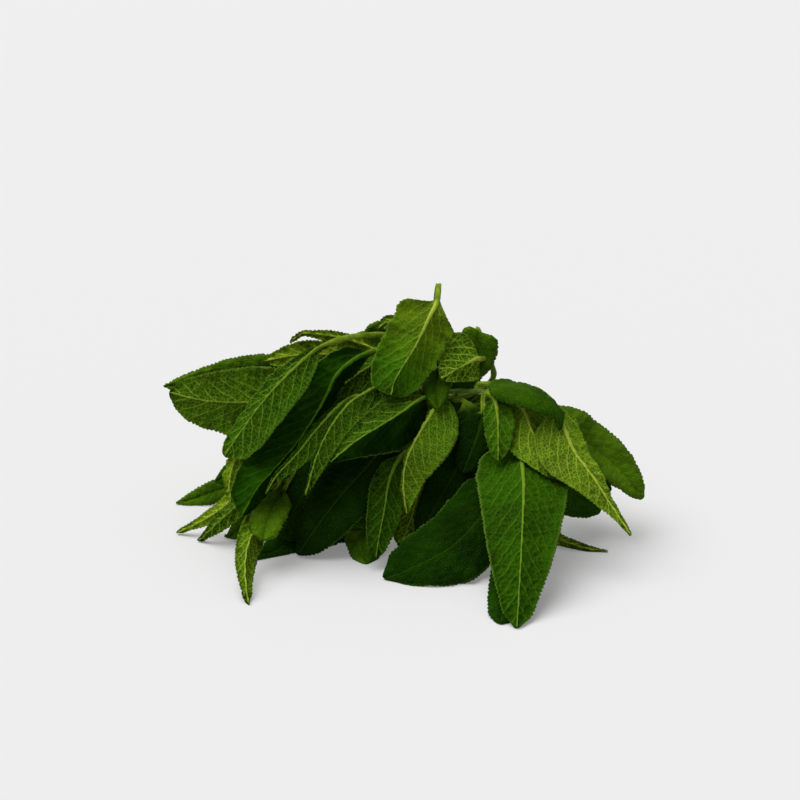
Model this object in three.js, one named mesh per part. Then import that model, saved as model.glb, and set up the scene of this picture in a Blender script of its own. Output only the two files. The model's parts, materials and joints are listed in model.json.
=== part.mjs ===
// A cut sprig of garden sage, lying as picked: one branched woody stem whose side shoots carry
// stalked, drooping leaves. Millimetres, +Z up, resting on z = 0. The cut end points to +Y.
import * as THREE from 'three';

// --- Driving dimensions ---------------------------------------------------------------------
const BLADE_THICKNESS = 0.9;
const STALK_RADIUS = 1.05;
const STALK_GROOVE = 0.35;        // depth share left at the groove on a stalk's upper side
const KEEL_HEIGHT = 0.7;          // how far the midrib stands out of a blade's underside
const WIDEST_AT = 0.32;           // where a blade is widest, from its base (0) to its tip (1)
const BASE_CURVE = [2.2, 0.62];   // how a blade's edge rounds in at its base
const TIP_CURVES = {              // how a blade's edge tapers to its tip
  blunt: [2.3, 0.6],
  full: [4, 0.5],
  tapered: [1.2, 0.6],
  pointed: [1.7, 0.9],
  drawn: [1, 1.2],
};
const FLATTENED_BY = 0.15;        // share of a blade over which the stalk flattens into it
const STALK_FLANK = 0.8;          // thickness beside the midrib, as a share of the stalk's
const BLADE_FLANK = 0.85;         // and as a share of the blade's
const BLADE_GROOVE = 0.7;         // thickness left at the groove over a blade's midrib
const FLOOR_CLEARANCE = 0.75;     // lowest a leaf's middle surface comes above the floor
const RESTING_GAP = 0.9;          // air kept between leaves that lie over each other
const STEM_SIDES = 8;
const STEM_RINGS = 9;

// Stations along a leaf: rings on the stalk, then rings on the blade (shares of each).
const STALK_STATIONS = [0, 0.45, 0.85];
const BLADE_STATIONS = [0.02, 0.09, 0.2, 0.33, 0.47, 0.61, 0.74, 0.86, 0.95];
const COLUMNS = 5;                // left margin, left half, midrib, right half, right margin
const MID = 2;

// The heap is laid in layers along this direction, from its front upper side to its back.
const LAYER_SLOPE = THREE.MathUtils.degToRad(22);
const LAYER_AXIS = new THREE.Vector3(0, Math.cos(LAYER_SLOPE), -Math.sin(LAYER_SLOPE));
const LAYER_UP = new THREE.Vector3(0, Math.sin(LAYER_SLOPE), Math.cos(LAYER_SLOPE));
const SETTLE_ROUNDS = 70;
const SETTLE_CELL = 1.6;          // size of the cells in which depths are compared
const SETTLE_SAMPLES = 6;         // samples along and across each patch of a layer
const CELLS_A_ROW = 4096;
const STEM_DEPTH = 0.8;           // a stem's half thickness as a share of its radius
const LEFT_PART = 0.4;            // up to here a touch moves only a ring's left end
const EASE = 0.5;                 // share of a need that one round moves
const KEEP_OWN = 0.5;             // how a ring's shift is evened out with its neighbours
const KEEP_NEIGHBOUR = 0.2;
const KEEP_OTHER_END = 0.1;

const COLOURS = { under: '#5f7a2c', upper: '#2c4a12', green_stem: '#8a9c4c', wood: '#6f6a3e' };

// --- Stems: name, colour, start and end radius, centre line -----------------------------------
const STEMS = [
  ['stem_main', 'wood', 2.6, 1.7, [[14, 84, 2.7], [12, 62, 9], [11, 44, 22], [10, 27, 40], [9, 17, 52]]],
  ['shoot_top', 'green_stem', 1.5, 1.1, [[8, 32, 47], [8, 29, 60], [11, 28, 72], [14, 28, 80]]],
  ['shoot_rear', 'green_stem', 1.4, 1.1,
    [[14, 27, 44], [29, 22, 48], [37, 21, 54], [36, 22, 62], [32, 25, 71]]],
  ['shoot_right', 'green_stem', 1.2, 0.9, [[12, 17, 50], [24, 6, 55], [36, 1, 57], [48, 1, 56]]],
  ['shoot_left', 'green_stem', 1.5, 1.1, [[5, 24, 47], [-8, 18, 53], [-22, 13, 53], [-34, 10, 50]]],
  ['shoot_low_left', 'green_stem', 1.5, 1.1, [[7, 38, 27], [-14, 22, 32], [-34, 7, 33], [-46, -4, 31]]],
  ['shoot_front', 'green_stem', 1.5, 1.1, [[7, 14, 46], [7, 3, 46], [8, -6, 42]]],
  ['shoot_low_right', 'green_stem', 1.5, 1.1, [[15, 41, 22], [28, 22, 30], [38, 8, 36], [43, -4, 41]]],
];

// --- Leaves, from the front of the heap to its back --------------------------------------------
// name, side that looks outwards, half widths of the blade, stalk share of the length, folds of
// both halves towards the upper side in degrees, direction that the outer side looks, the
// midrib from the stalk's foot to the tip, and the tip's shape and where the blade is widest if
// they are unusual.
// Pairs are left and right, seen from outside with the tip downwards.
const FRONT = [0, -0.8, 0.6];
const FRONT_LEFT = [-0.4, -0.75, 0.5];
const FRONT_RIGHT = [0.35, -0.75, 0.55];
const LEAVES = [
  ['leaf_top', 'under', [13, 12], 0.36, [10, 35], [0.05, -0.8, 0.6],
    [[14.2, 27, 84], [14.8, 25, 90], [15.6, 21, 93.6], [15, 17, 91], [14, 13.5, 88], [11.5, 10, 84.6],
      [9, 7, 80], [6, 3, 75], [2, -2, 70], [-2, -8, 65], [-3.5, -13, 60.6]], 'full', 0.13],
  ['leaf_right_arch', 'upper', [8, 10], 0.15, [-10, -40], [0.3, -0.6, 0.8],
    [[30, 5, 58.5], [38, -3, 61.5], [46, -8, 62], [54, -12, 59], [60, -14, 54], [60, -14, 47]], 'pointed'],
  ['leaf_right_broad', 'under', [14, 9], 0.2, [12, 35], [0.1, -0.75, 0.65],
    [[51, 0, 58], [57, -7, 57], [61, -14, 51], [65, -21, 42], [72, -28, 34], [77, -32, 27],
      [86, -39, 15]], 'drawn', 0.3],
  ['leaf_right_young', 'under', [5.5, 6.5], 0.15, [10, 10], FRONT,
    [[34, -2, 57], [36, -6, 57], [37, -12, 52], [37, -18, 45], [37, -22, 38]]],
  ['leaf_right_cover', 'under', [13, 13], 0.1, [15, 10], [0.2, -0.75, 0.65],
    [[42, -2, 55], [47, -8, 53], [50, -15, 47], [55, -21, 40], [59, -25, 32]], 'tapered'],
  ['leaf_front_broad', 'under', [18, 18], 0.12, [10, 14], [0, -0.7, 0.7],
    [[42, -5, 43], [46, -14, 43], [46, -26, 41], [46, -40, 37], [45, -52, 30], [43, -69, 16],
      [41, -84, 0]], 'tapered', 0.26],
  ['leaf_crown_small', 'under', [14, 8], 0.12, [5, 25], [0.1, -0.85, 0.5],
    [[32, 16, 64.5], [29.5, 11, 66.5], [26.5, 7, 66.5], [22, 1, 66.2], [15.5, -5, 64.4]], 'tapered', 0.26],
  ['leaf_crown_dark', 'upper', [7, 7], 0.12, [10, 10], [-0.2, -0.9, 0.4],
    [[22, 20, 69], [19.5, 13, 69], [17, 7, 67], [15, 1, 63], [14, -5, 60], [14.5, -11, 54]]],
  ['leaf_centre_pale', 'under', [4, 14], 0.15, [80, 5], FRONT,
    [[16.5, 10, 55], [16, 2, 55], [12, -7, 51], [6, -14, 43], [2, -18, 34], [1.5, -21, 25],
      [2.7, -24, 17]], 'pointed', 0.36],
  ['leaf_centre_folded', 'under', [8.5, 18], 0.12, [5, 60], FRONT,
    [[11, 7, 50], [8, -4, 56], [2, -10, 54], [-6, -14, 50], [-16, -18, 45], [-26, -20, 37]], 'pointed'],
  ['leaf_left_long', 'under', [6.5, 11], 0.48, [25, 10], FRONT_LEFT,
    [[5, 26, 68], [-3, 14, 75], [-12, 9, 77], [-21, 2, 78], [-30, -4, 77], [-39, -9, 71], [-50, -15, 61],
      [-59, -20, 50], [-66, -24, 40.5]], 'full', 0.5],
  ['leaf_middle_lit', 'under', [7, 9], 0.2, [75, 5], FRONT,
    [[1, 14, 55], [-4, 2, 61], [-11, -8, 61], [-18, -14, 59], [-25, -22, 53], [-30, -28, 45],
      [-33, -33, 37], [-35, -36, 30]], 'pointed'],
  ['leaf_left_lit', 'under', [6, 7], 0.2, [40, 15], FRONT_LEFT,
    [[-14, 13, 50], [-17, 4, 53], [-22, -4, 54], [-27, -10, 51], [-33, -16, 46], [-39, -22, 40],
      [-46, -27, 34], [-50, -30, 28]], 'pointed'],
  ['leaf_front_under', 'upper', [6.5, 12], 0.12, [-10, -10], [0, -0.7, 0.7],
    [[44, -8, 38], [43, -20, 35], [42, -36, 28], [41, -52, 18], [37.5, -68, 7], [35.5, -81, 0]],
    'blunt', 0.75],
  ['leaf_floor_front', 'upper', [14, 15], 0.12, [-10, -10], FRONT,
    [[40, -4, 35], [41, -12, 31], [39, -22, 27], [30, -34, 20], [20, -43, 13], [9, -47, 8], [-6, -46, 0]],
      'full'],
  ['leaf_left_long_dark', 'under', [11.5, 10], 0.25, [5, 70], FRONT,
    [[4, 22, 64], [-3, 11, 71], [-11, 4, 72], [-18, -2, 71], [-24, -6, 67], [-28, -10, 60], [-34, -16, 51],
      [-43, -22, 40], [-53, -30, 31], [-59, -34, 21]], 'full', 0.5],
  ['leaf_left_narrow', 'under', [4, 4], 0.3, [20, 20], FRONT_LEFT,
    [[-48, -6, 35], [-52, -12, 40], [-57, -18, 43], [-61, -23, 41], [-64, -27, 33], [-64, -28, 23]]],
  ['leaf_low_left_round', 'upper', [7, 7], 0.3, [10, 10], FRONT,
    [[-41, -7, 27.5], [-46, -14, 20], [-48.5, -22, 18], [-50, -29, 15.5], [-51, -34, 11]], 'full'],
  ['leaf_low_left_front', 'under', [5, 8], 0.2, [5, 60], FRONT,
    [[-46, -9, 31], [-46.5, -22, 30.5], [-51, -36, 26], [-55.5, -50, 20], [-57, -60, 15], [-56, -68, 9],
      [-54.5, -72, 0]], 'pointed', 0.4],
  ['leaf_bottom_lit', 'under', [7, 7], 0.15, [10, 10], FRONT,
    [[6, -9, 38], [0, -11, 34], [-4, -15, 27], [-6, -24, 18], [-8, -31, 10], [-9, -36, 4]]],
  ['leaf_bottom_dark', 'upper', [15, 13], 0.12, [-10, -10], FRONT_LEFT,
    [[4, 2, 44], [-4, -6, 40], [-12, -15, 33], [-22, -22, 24], [-31, -26, 13], [-39, -25, 0]]],
  ['leaf_right_inner', 'upper', [8, 8], 0.15, [-10, -10], FRONT,
    [[32, -2, 53], [32, -6, 51], [30, -11, 45], [27, -15, 38], [24, -18, 31]]],
  ['leaf_inner_dark', 'upper', [10, 10], 0.12, [-10, -10], FRONT,
    [[21, 5.5, 52], [25, 0, 53], [27, -5, 46], [25, -9, 36], [19, -13, 25], [12, -18, 14], [7, -22, 5]]],
  ['leaf_middle_rear', 'under', [7, 7], 0.2, [10, 10], FRONT,
    [[3, 25, 60], [-3, 10, 67], [-10, 2, 68], [-18, -4, 65], [-27, -9, 59], [-34, -12, 50]]],
  ['leaf_middle_inner', 'under', [6, 4.5], 0.42, [10, 10], FRONT,
    [[-7, 15, 53], [-10, 12, 58], [-16, 9, 59], [-23, 5, 52], [-30, 1, 42]]],
  ['leaf_left_broad', 'under', [14, 14], 0.15, [10, 10], [-0.1, -0.9, 0.3],
    [[-26, 9, 52], [-33, 4, 50], [-40, 2, 52], [-56, -3, 54], [-71, -7, 56], [-80, -8, 58], [-88, -7, 60]]],
  ['leaf_bottom_inner', 'under', [8, 8], 0.15, [10, 10], FRONT,
    [[9, -8, 39], [8, -10, 28], [6, -15, 17], [3, -20, 9], [0, -24, 2]]],
  ['leaf_bottom_middle', 'upper', [12, 12], 0.15, [-10, -10], FRONT,
    [[4, 18, 38], [3, 6, 37], [-5, -12, 29], [-13, -26, 14], [-13, -39, 0]]],
  ['leaf_bottom_left', 'upper', [10, 10], 0.2, [-10, -10], FRONT_LEFT,
    [[-24, 9, 36], [-29, -6, 36], [-34, -16, 29], [-40, -22, 18], [-47, -25, 6]], 'full'],
  ['leaf_low_left_floor', 'upper', [13, 14], 0.15, [-10, -10], FRONT,
    [[-20, 13, 29], [-22, -4, 15], [-29, -14, 9], [-41, -23, 5], [-57, -35, 0]], 'pointed'],
  ['leaf_low_left_bud', 'under', [4, 4], 0.2, [10, 10], FRONT_LEFT,
    [[-48, -7, 30], [-52, -13, 32], [-57, -17, 33], [-63, -20, 31]]],
  ['leaf_low_left_curled', 'under', [5, 5], 0.2, [30, 30], FRONT_LEFT,
    [[-48, -5, 28], [-58, -14, 20], [-68, -18, 12], [-79, -15, 0]], 'pointed'],
  ['leaf_low_left_thin', 'under', [4, 4], 0.2, [20, 20], FRONT_LEFT,
    [[-47, 0, 29], [-61, -6, 18], [-74, -8, 8], [-88, -7, 0]], 'pointed'],
  ['leaf_low_left_dark', 'upper', [5, 5], 0.2, [10, 10], FRONT_LEFT,
    [[-46, 0, 33], [-54, -2, 33], [-61, -4, 29], [-67, -6, 25], [-72, -8, 22]]],
  ['leaf_low_left_under', 'upper', [6, 6], 0.2, [10, 10], FRONT,
    [[-43, -5, 27], [-51, -15, 16], [-59, -21, 12], [-69, -16, 0]], 'pointed'],
  ['leaf_crown_round', 'upper', [8, 8], 0.1, [10, 10], FRONT_RIGHT,
    [[31, 26, 74], [31, 19, 73], [31, 15, 69], [29.5, 11, 64], [27, 8, 60]]],
  ['leaf_right_far', 'upper', [10, 10], 0.12, [10, 10], FRONT_RIGHT,
    [[50, 5, 51], [58, 4, 47], [65, 1, 42], [73, -1, 36], [81, -5, 31], [88, -9, 25], [94, -14, 18]]],
  ['leaf_right_low', 'upper', [10, 12], 0.12, [-10, -10], FRONT_RIGHT,
    [[46, -2, 39], [50, -1, 31], [57, -6, 23], [68, -10, 17], [78, -13, 12]]],
  ['leaf_right_floor', 'under', [4, 4], 0.2, [20, 20], FRONT_RIGHT,
    [[38, 10, 33], [50, 0, 10], [58, -16, 4], [68, -22, 2], [80, -24.5, 0]], 'pointed'],
  ['leaf_right_rear', 'upper', [7, 7], 0.2, [10, 10], FRONT_RIGHT,
    [[41, 9, 38], [50, 10, 38], [60, 9, 33], [68, 5, 27], [77, 0, 22], [83, -5, 17]]],
  ['leaf_low_left_far', 'upper', [6, 6], 0.2, [10, 10], FRONT_LEFT,
    [[-36, 11, 29], [-46, 18, 20], [-59, 21, 12], [-74, 20, 6], [-92, 18, 0]]],
  ['leaf_rear_curled', 'under', [3, 3], 0.25, [20, 20], FRONT,
    [[4, 29, 57], [-11, 24, 66], [-21, 21, 71], [-31, 18, 74], [-39, 16, 75], [-43, 14, 72]], 'pointed'],
  ['leaf_rear_bright', 'under', [6, 6], 0.25, [10, 10], FRONT,
    [[-8, 22, 54], [-20, 20, 63], [-32, 18, 66], [-41, 14, 67], [-53, 10, 66]]],
  ['leaf_left_behind', 'upper', [12, 12], 0.15, [10, 10], [-0.1, -0.9, 0.3],
    [[-25, 17, 50], [-34, 18, 50], [-46, 16, 54], [-61, 12, 56], [-76, 8, 57], [-92, 4, 58]], 'pointed'],
  ['leaf_peak_pale', 'under', [5, 5], 0.15, [10, 10], FRONT,
    [[6, 28, 65], [3, 29, 69], [-1, 30, 73], [-5, 30, 75], [-9, 28, 73]], 'pointed'],
  ['leaf_peak_dark', 'upper', [6, 6], 0.15, [10, 10], FRONT,
    [[7, 33, 62], [2, 35, 65], [-4, 37, 68], [-10, 37, 69], [-16, 35, 67]], 'pointed'],
  ['leaf_back_right_high', 'under', [13, 13], 0.15, [10, 10], [0, 0.7, 0.7],
    [[16, 30, 51], [20, 36, 52], [21, 47, 44], [18, 59, 31], [14, 69, 17]]],
  ['leaf_back_left_floor', 'under', [12, 12], 0.15, [10, 10], [-0.5, 0.5, 0.8],
    [[-14, 23, 47], [-28, 30, 46], [-46, 36, 36], [-60, 40, 20], [-70, 40, 0]]],
  ['leaf_back_right_floor', 'upper', [11, 11], 0.15, [10, 10], [0.5, 0.4, 0.8],
    [[18, 45, 24], [34, 43, 36], [50, 41, 33], [66, 36, 20], [77, 32, 4]]],
  ['leaf_back_low', 'upper', [11, 11], 0.15, [10, 10], [-0.4, 0.5, 0.8],
    [[7, 46, 22], [-8, 52, 28], [-20, 62, 20], [-30, 72, 8], [-36, 80, 0]]],
  ['leaf_back_left', 'upper', [13, 13], 0.15, [10, 10], [0, 0.6, 0.8],
    [[10, 36, 58], [4, 46, 62], [-8, 58, 56], [-20, 68, 40], [-28, 74, 20]]],
  ['leaf_back_right', 'upper', [14, 14], 0.15, [10, 10], [0.3, 0.6, 0.8],
    [[15, 50, 20], [24, 56, 27], [34, 61, 22], [42, 66, 12], [46, 69, 2]]],
];
const STEMS_AFTER = 'leaf_right_rear'; // the stems lie behind this leaf in the heap

// --- A leaf's middle surface ----------------------------------------------------------------------
const vector = (values) => new THREE.Vector3(...values);

// Half width of a blade as a share of its largest, from its rounded base to its pointed tip.
function bladeOutline(t, widestAt, tipCurve) {
  if (t < widestAt) {
    return (1 - ((widestAt - t) / widestAt) ** BASE_CURVE[0]) ** BASE_CURVE[1];
  }
  return (1 - ((t - widestAt) / (1 - widestAt)) ** tipCurve[0]) ** tipCurve[1];
}

// The stations of a leaf: how far along it is, and how much of a blade it is there.
function leafStations({ stalkShare, tipShape, widestAt }) {
  const stalk = STALK_STATIONS.map((share) => ({ along: share * stalkShare, blade: 0, halfWidth: 0 }));
  const blade = BLADE_STATIONS.map((share) => ({
    along: stalkShare + share * (1 - stalkShare),
    blade: Math.min(1, share / FLATTENED_BY),
    halfWidth: bladeOutline(share, widestAt, TIP_CURVES[tipShape]),
  }));
  return [...stalk, ...blade];
}

// One ring of the middle surface: five points across, the two halves bent towards the upper side.
function middleRing(centre, left, upper, station, leaf) {
  const { blade, halfWidth } = station;
  // Seen from outside with the tip down, the first half is on the left of an under side only.
  const swapped = leaf.outerSide === 'upper';
  const ring = [];
  for (let column = 0; column < COLUMNS; column += 1) {
    const side = Math.sign(MID - column);
    const share = Math.abs(MID - column) / MID;
    const half = (side > 0) === swapped ? 1 : 0;
    const reach = Math.max(halfWidth * leaf.halfWidths[half], STALK_RADIUS);
    const fold = THREE.MathUtils.degToRad(leaf.folds[half]) * blade;
    const point = centre.clone();
    point.addScaledVector(left, side * share * reach * Math.cos(fold));
    point.addScaledVector(upper, share * reach * Math.sin(fold));
    ring.push(point);
  }
  return ring;
}

function middleSurface(leaf) {
  const midrib = new THREE.CatmullRomCurve3(leaf.midrib.map(vector), false, 'centripetal');
  const outwards = vector(leaf.outwards);
  const facing = leaf.outerSide === 'upper' ? 1 : -1;
  const rings = [];
  for (const station of leafStations(leaf)) {
    const centre = midrib.getPointAt(station.along);
    const forward = midrib.getTangentAt(station.along);
    const upper = outwards.clone().projectOnPlane(forward).normalize().multiplyScalar(facing);
    const left = upper.clone().cross(forward);
    rings.push(middleRing(centre, left, upper, station, leaf));
  }
  return { rings, tip: midrib.getPointAt(1) };
}

// --- Stems ------------------------------------------------------------------------------------------
function stemRings([, , startRadius, endRadius, points]) {
  const line = new THREE.CatmullRomCurve3(points.map(vector), false, 'centripetal');
  const frames = line.computeFrenetFrames(STEM_RINGS - 1, false);
  return Array.from({ length: STEM_RINGS }, (_, index) => {
    const along = index / (STEM_RINGS - 1);
    const radius = THREE.MathUtils.lerp(startRadius, endRadius, along);
    return Array.from({ length: STEM_SIDES }, (__, side) => {
      const angle = (side / STEM_SIDES) * 2 * Math.PI;
      return line.getPointAt(along)
        .addScaledVector(frames.normals[index], radius * Math.cos(angle))
        .addScaledVector(frames.binormals[index], radius * Math.sin(angle));
    });
  });
}

// --- Settling: leaves that lie over each other are eased apart until they only rest on each other ---
// A layer is one leaf or stem: rings of points across, how thick it is at each ring and how freely
// each ring moves. Every ring shifts along LAYER_AXIS by its own amount at its left and right end.
function leafLayer(leaf, surface) {
  const stations = leafStations(leaf);
  const rings = [...surface.rings, Array.from({ length: COLUMNS }, () => surface.tip.clone())];
  const blades = [...stations.map((station) => station.blade), 1];
  return {
    rings,
    halfThickness: blades.map((blade) => THREE.MathUtils.lerp(STALK_RADIUS, BLADE_THICKNESS / 2, blade)),
    freedom: rings.map((_, ring) => Math.min(1, (ring / STALK_STATIONS.length) ** 2)),
    shifts: rings.map(() => [0, 0]),
    firstRing: 1,
  };
}

function stemLayer(stem) {
  const rings = stemRings(stem).map((ring) => [ring[0], ring[4], ring[0], ring[2], ring[6]]);
  return {
    rings,
    halfThickness: rings.map(() => stem[3] * STEM_DEPTH),
    freedom: rings.map(() => 0),
    shifts: rings.map(() => [0, 0]),
    firstRing: 0,
  };
}

// A point of a layer, shifted, and never lower than the floor lets it.
function shiftedPoint(layer, ring, column) {
  const [left, right] = layer.shifts[ring];
  const across = column / (COLUMNS - 1);
  const point = layer.rings[ring][column].clone();
  point.addScaledVector(LAYER_AXIS, THREE.MathUtils.lerp(left, right, across));
  if (layer.freedom[ring] > 0) {
    point.z = Math.max(point.z, FLOOR_CLEARANCE);
  }
  return point;
}

function shiftedGrid(layer) {
  return layer.rings.map((ring, index) => ring.map((_, column) => shiftedPoint(layer, index, column)));
}

function cellKey(point) {
  return Math.round(point.x / SETTLE_CELL) * CELLS_A_ROW + Math.round(point.dot(LAYER_UP) / SETTLE_CELL);
}

// Keeps the nearest and farthest place that a layer has in one cell.
function notePlace(cells, key, place) {
  const cell = cells.get(key);
  if (!cell) {
    cells.set(key, { near: place, far: place });
  } else if (place.depth < cell.near.depth) {
    cell.near = place;
  } else if (place.depth > cell.far.depth) {
    cell.far = place;
  }
}

// Samples one patch between two rings and two columns.
function samplePatch(grid, ring, column, cells) {
  for (let i = 0; i < SETTLE_SAMPLES; i += 1) {
    for (let j = 0; j < SETTLE_SAMPLES; j += 1) {
      const along = (i + 0.5) / SETTLE_SAMPLES;
      const across = (j + 0.5) / SETTLE_SAMPLES;
      const lower = grid[ring + 1][column].clone().lerp(grid[ring + 1][column + 1], across);
      const point = grid[ring][column].clone().lerp(grid[ring][column + 1], across).lerp(lower, along);
      const place = {
        depth: point.dot(LAYER_AXIS),
        ring: ring + along,
        across: (column + across) / (COLUMNS - 1),
      };
      notePlace(cells, cellKey(point), place);
    }
  }
}

// The nearest and farthest depth that a layer has over each cell of a grid square to LAYER_AXIS.
function layerDepths(layer) {
  const cells = new Map();
  const grid = shiftedGrid(layer);
  for (let ring = layer.firstRing; ring < grid.length - 1; ring += 1) {
    for (let column = 0; column < COLUMNS - 1; column += 1) {
      samplePatch(grid, ring, column, cells);
    }
  }
  return cells;
}

// The ends of a ring that a touch moves: its left end, its right end, or both near the middle.
function touchedEnds(across) {
  if (across < LEFT_PART) {
    return [0];
  }
  return across > 1 - LEFT_PART ? [1] : [0, 1];
}

// Notes that a layer has to move by `amount` at a place; the largest need at each ring end counts.
function noteNeed(needs, place, amount) {
  for (const ring of [Math.floor(place.ring), Math.ceil(place.ring)]) {
    const sides = touchedEnds(place.across);
    for (const side of sides) {
      const need = needs[ring][side];
      need.back = Math.max(need.back, amount);
      need.front = Math.min(need.front, amount);
    }
  }
}

// What a layer needs so far, at both ends of each of its rings.
const noNeeds = (layer) => layer.rings.map(() => [0, 1].map(() => ({ back: 0, front: 0 })));

// Every cell's layers from front to back, with the depths that each has there.
function stackLayers(layers) {
  const stacks = new Map();
  layers.forEach((layer, index) => {
    for (const [key, cell] of layerDepths(layer)) {
      if (!stacks.has(key)) {
        stacks.set(key, []);
      }
      stacks.get(key).push({ index, ...cell });
    }
  });
  return stacks;
}

// Notes how far two neighbours in a stack have to part, shared out by how freely each moves there.
function partNeighbours(layers, needs, front, behind) {
  const frontLayer = layers[front.index];
  const behindLayer = layers[behind.index];
  const frontRing = Math.round(front.far.ring);
  const behindRing = Math.round(behind.near.ring);
  const spacing = frontLayer.halfThickness[frontRing] + behindLayer.halfThickness[behindRing] + RESTING_GAP;
  const overlap = front.far.depth + spacing - behind.near.depth;
  const freedom = frontLayer.freedom[frontRing] + behindLayer.freedom[behindRing];
  if (overlap > 0 && freedom > 0) {
    noteNeed(needs[front.index], front.far, -overlap * frontLayer.freedom[frontRing] / freedom);
    noteNeed(needs[behind.index], behind.near, overlap * behindLayer.freedom[behindRing] / freedom);
  }
}

function settleOnce(layers) {
  const needs = layers.map(noNeeds);
  for (const stack of stackLayers(layers).values()) {
    for (let place = 0; place < stack.length - 1; place += 1) {
      partNeighbours(layers, needs, stack[place], stack[place + 1]);
    }
  }
  layers.forEach((layer, index) => easeLayer(layer, needs[index]));
}

// Applies a share of what each ring end needs, then evens the shifts out along the leaf.
function easeLayer(layer, needs) {
  const moved = layer.shifts.map((shift, ring) => shift.map((value, side) => {
    const need = needs[ring][side];
    return value + EASE * (need.back + need.front) * layer.freedom[ring];
  }));
  layer.shifts = moved.map((shift, ring) => shift.map((value, side) => {
    const before = moved[Math.max(ring - 1, 0)][side];
    const after = moved[Math.min(ring + 1, moved.length - 1)][side];
    const even = KEEP_OWN * value + KEEP_NEIGHBOUR * (before + after) + KEEP_OTHER_END * shift[1 - side];
    return layer.freedom[ring] * even;
  }));
}

// --- Solids -------------------------------------------------------------------------------------------
function closedMesh(name, colour, vertices, faces) {
  const geometry = new THREE.BufferGeometry();
  const positions = vertices.flatMap((vertex) => vertex.toArray());
  geometry.setAttribute('position', new THREE.Float32BufferAttribute(positions, 3));
  geometry.setIndex(faces.flat());
  geometry.computeVertexNormals();
  const material = new THREE.MeshStandardMaterial({ color: colour, roughness: 0.75, metalness: 0 });
  const mesh = new THREE.Mesh(geometry, material);
  mesh.name = name;
  return mesh;
}

// Faces between rings of `sides` points each, ring after ring.
function sideFaces(ringCount, sides) {
  const faces = [];
  for (let ring = 0; ring < ringCount - 1; ring += 1) {
    for (let side = 0; side < sides; side += 1) {
      const next = (side + 1) % sides;
      const a = ring * sides + side;
      const b = ring * sides + next;
      faces.push([a, b, a + sides], [b, b + sides, a + sides]);
    }
  }
  return faces;
}

// A flat end over one ring, as a strip without a middle point.
function endFaces(start, sides, outwards) {
  const faces = [];
  let low = 0;
  let high = sides - 1;
  while (high - low > 1) {
    faces.push([start + low, start + high, start + low + 1]);
    low += 1;
    if (high - low > 1) {
      faces.push([start + low, start + high, start + high - 1]);
      high -= 1;
    }
  }
  return outwards ? faces : faces.map(([a, b, c]) => [a, c, b]);
}

function stemMesh(stem) {
  const [name, colour] = stem;
  const rings = stemRings(stem);
  const faces = [
    ...sideFaces(rings.length, STEM_SIDES),
    ...endFaces(0, STEM_SIDES, true),
    ...endFaces((rings.length - 1) * STEM_SIDES, STEM_SIDES, false),
  ];
  return closedMesh(name, COLOURS[colour], rings.flat(), faces);
}

// The eight points around a leaf at one ring: left margin, upper side, right margin, lower side.
function skinRing(grid, ring, blade, tip) {
  const across = grid[ring][0].clone().sub(grid[ring][COLUMNS - 1]);
  const before = grid[Math.max(ring - 1, 0)][MID];
  const after = ring + 1 < grid.length ? grid[ring + 1][MID] : tip;
  const upper = after.clone().sub(before).cross(across).normalize();
  const raised = (column, height) => grid[ring][column].clone().addScaledVector(upper, height);
  const half = BLADE_THICKNESS / 2;
  const flank = THREE.MathUtils.lerp(STALK_RADIUS * STALK_FLANK, half * BLADE_FLANK, blade);
  const groove = THREE.MathUtils.lerp(STALK_RADIUS * STALK_GROOVE, half * BLADE_GROOVE, blade);
  const keel = THREE.MathUtils.lerp(STALK_RADIUS, half + KEEL_HEIGHT * (1 - ring / grid.length), blade);
  return [
    grid[ring][0], raised(1, flank), raised(2, groove), raised(3, flank),
    grid[ring][4], raised(3, -flank), raised(2, -keel), raised(1, -flank),
  ];
}

function leafMesh(leaf, layer) {
  const stations = leafStations(leaf);
  const grid = shiftedGrid(layer).slice(0, stations.length);
  const tip = shiftedPoint(layer, stations.length, MID);
  const rings = stations.map((station, ring) => skinRing(grid, ring, station.blade, tip));
  const sides = rings[0].length;
  const last = (rings.length - 1) * sides;
  const tipIndex = rings.length * sides;
  const faces = [...sideFaces(rings.length, sides), ...endFaces(0, sides, true)];
  for (let side = 0; side < sides; side += 1) {
    faces.push([last + side, last + ((side + 1) % sides), tipIndex]);
  }
  return closedMesh(leaf.name, COLOURS[leaf.outerSide], [...rings.flat(), tip], faces);
}

// --- Assembly --------------------------------------------------------------------------------------------
const LEAF_FIELDS = [
  'name', 'outerSide', 'halfWidths', 'stalkShare', 'folds', 'outwards', 'midrib', 'tipShape', 'widestAt',
];
const leaves = LEAVES.map((row) => ({
  tipShape: 'blunt',
  widestAt: WIDEST_AT,
  ...Object.fromEntries(row.map((value, index) => [LEAF_FIELDS[index], value])),
}));
const leafLayers = leaves.map((leaf) => leafLayer(leaf, middleSurface(leaf)));
const stemsAt = leaves.findIndex((leaf) => leaf.name === STEMS_AFTER) + 1;
const layers = [...leafLayers.slice(0, stemsAt), ...STEMS.map(stemLayer), ...leafLayers.slice(stemsAt)];
for (let round = 0; round < SETTLE_ROUNDS; round += 1) {
  settleOnce(layers);
}

const sprig = new THREE.Group();
for (const stem of STEMS) {
  sprig.add(stemMesh(stem));
}
leaves.forEach((leaf, index) => sprig.add(leafMesh(leaf, leafLayers[index])));

// The origin is under the middle of the heap, where it touches the floor.
const box = new THREE.Box3().setFromObject(sprig, true);
sprig.position.set(-(box.min.x + box.max.x) / 2, -(box.min.y + box.max.y) / 2, -box.min.z);
sprig.updateMatrixWorld(true);

export default sprig;
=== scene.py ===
# A cut sprig of garden sage on a pale floor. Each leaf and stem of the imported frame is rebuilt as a
# fine closed skin. The veins, domes, waves and teeth of a blade follow one rule for all leaves.
import json
import math
from functools import cached_property

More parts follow.
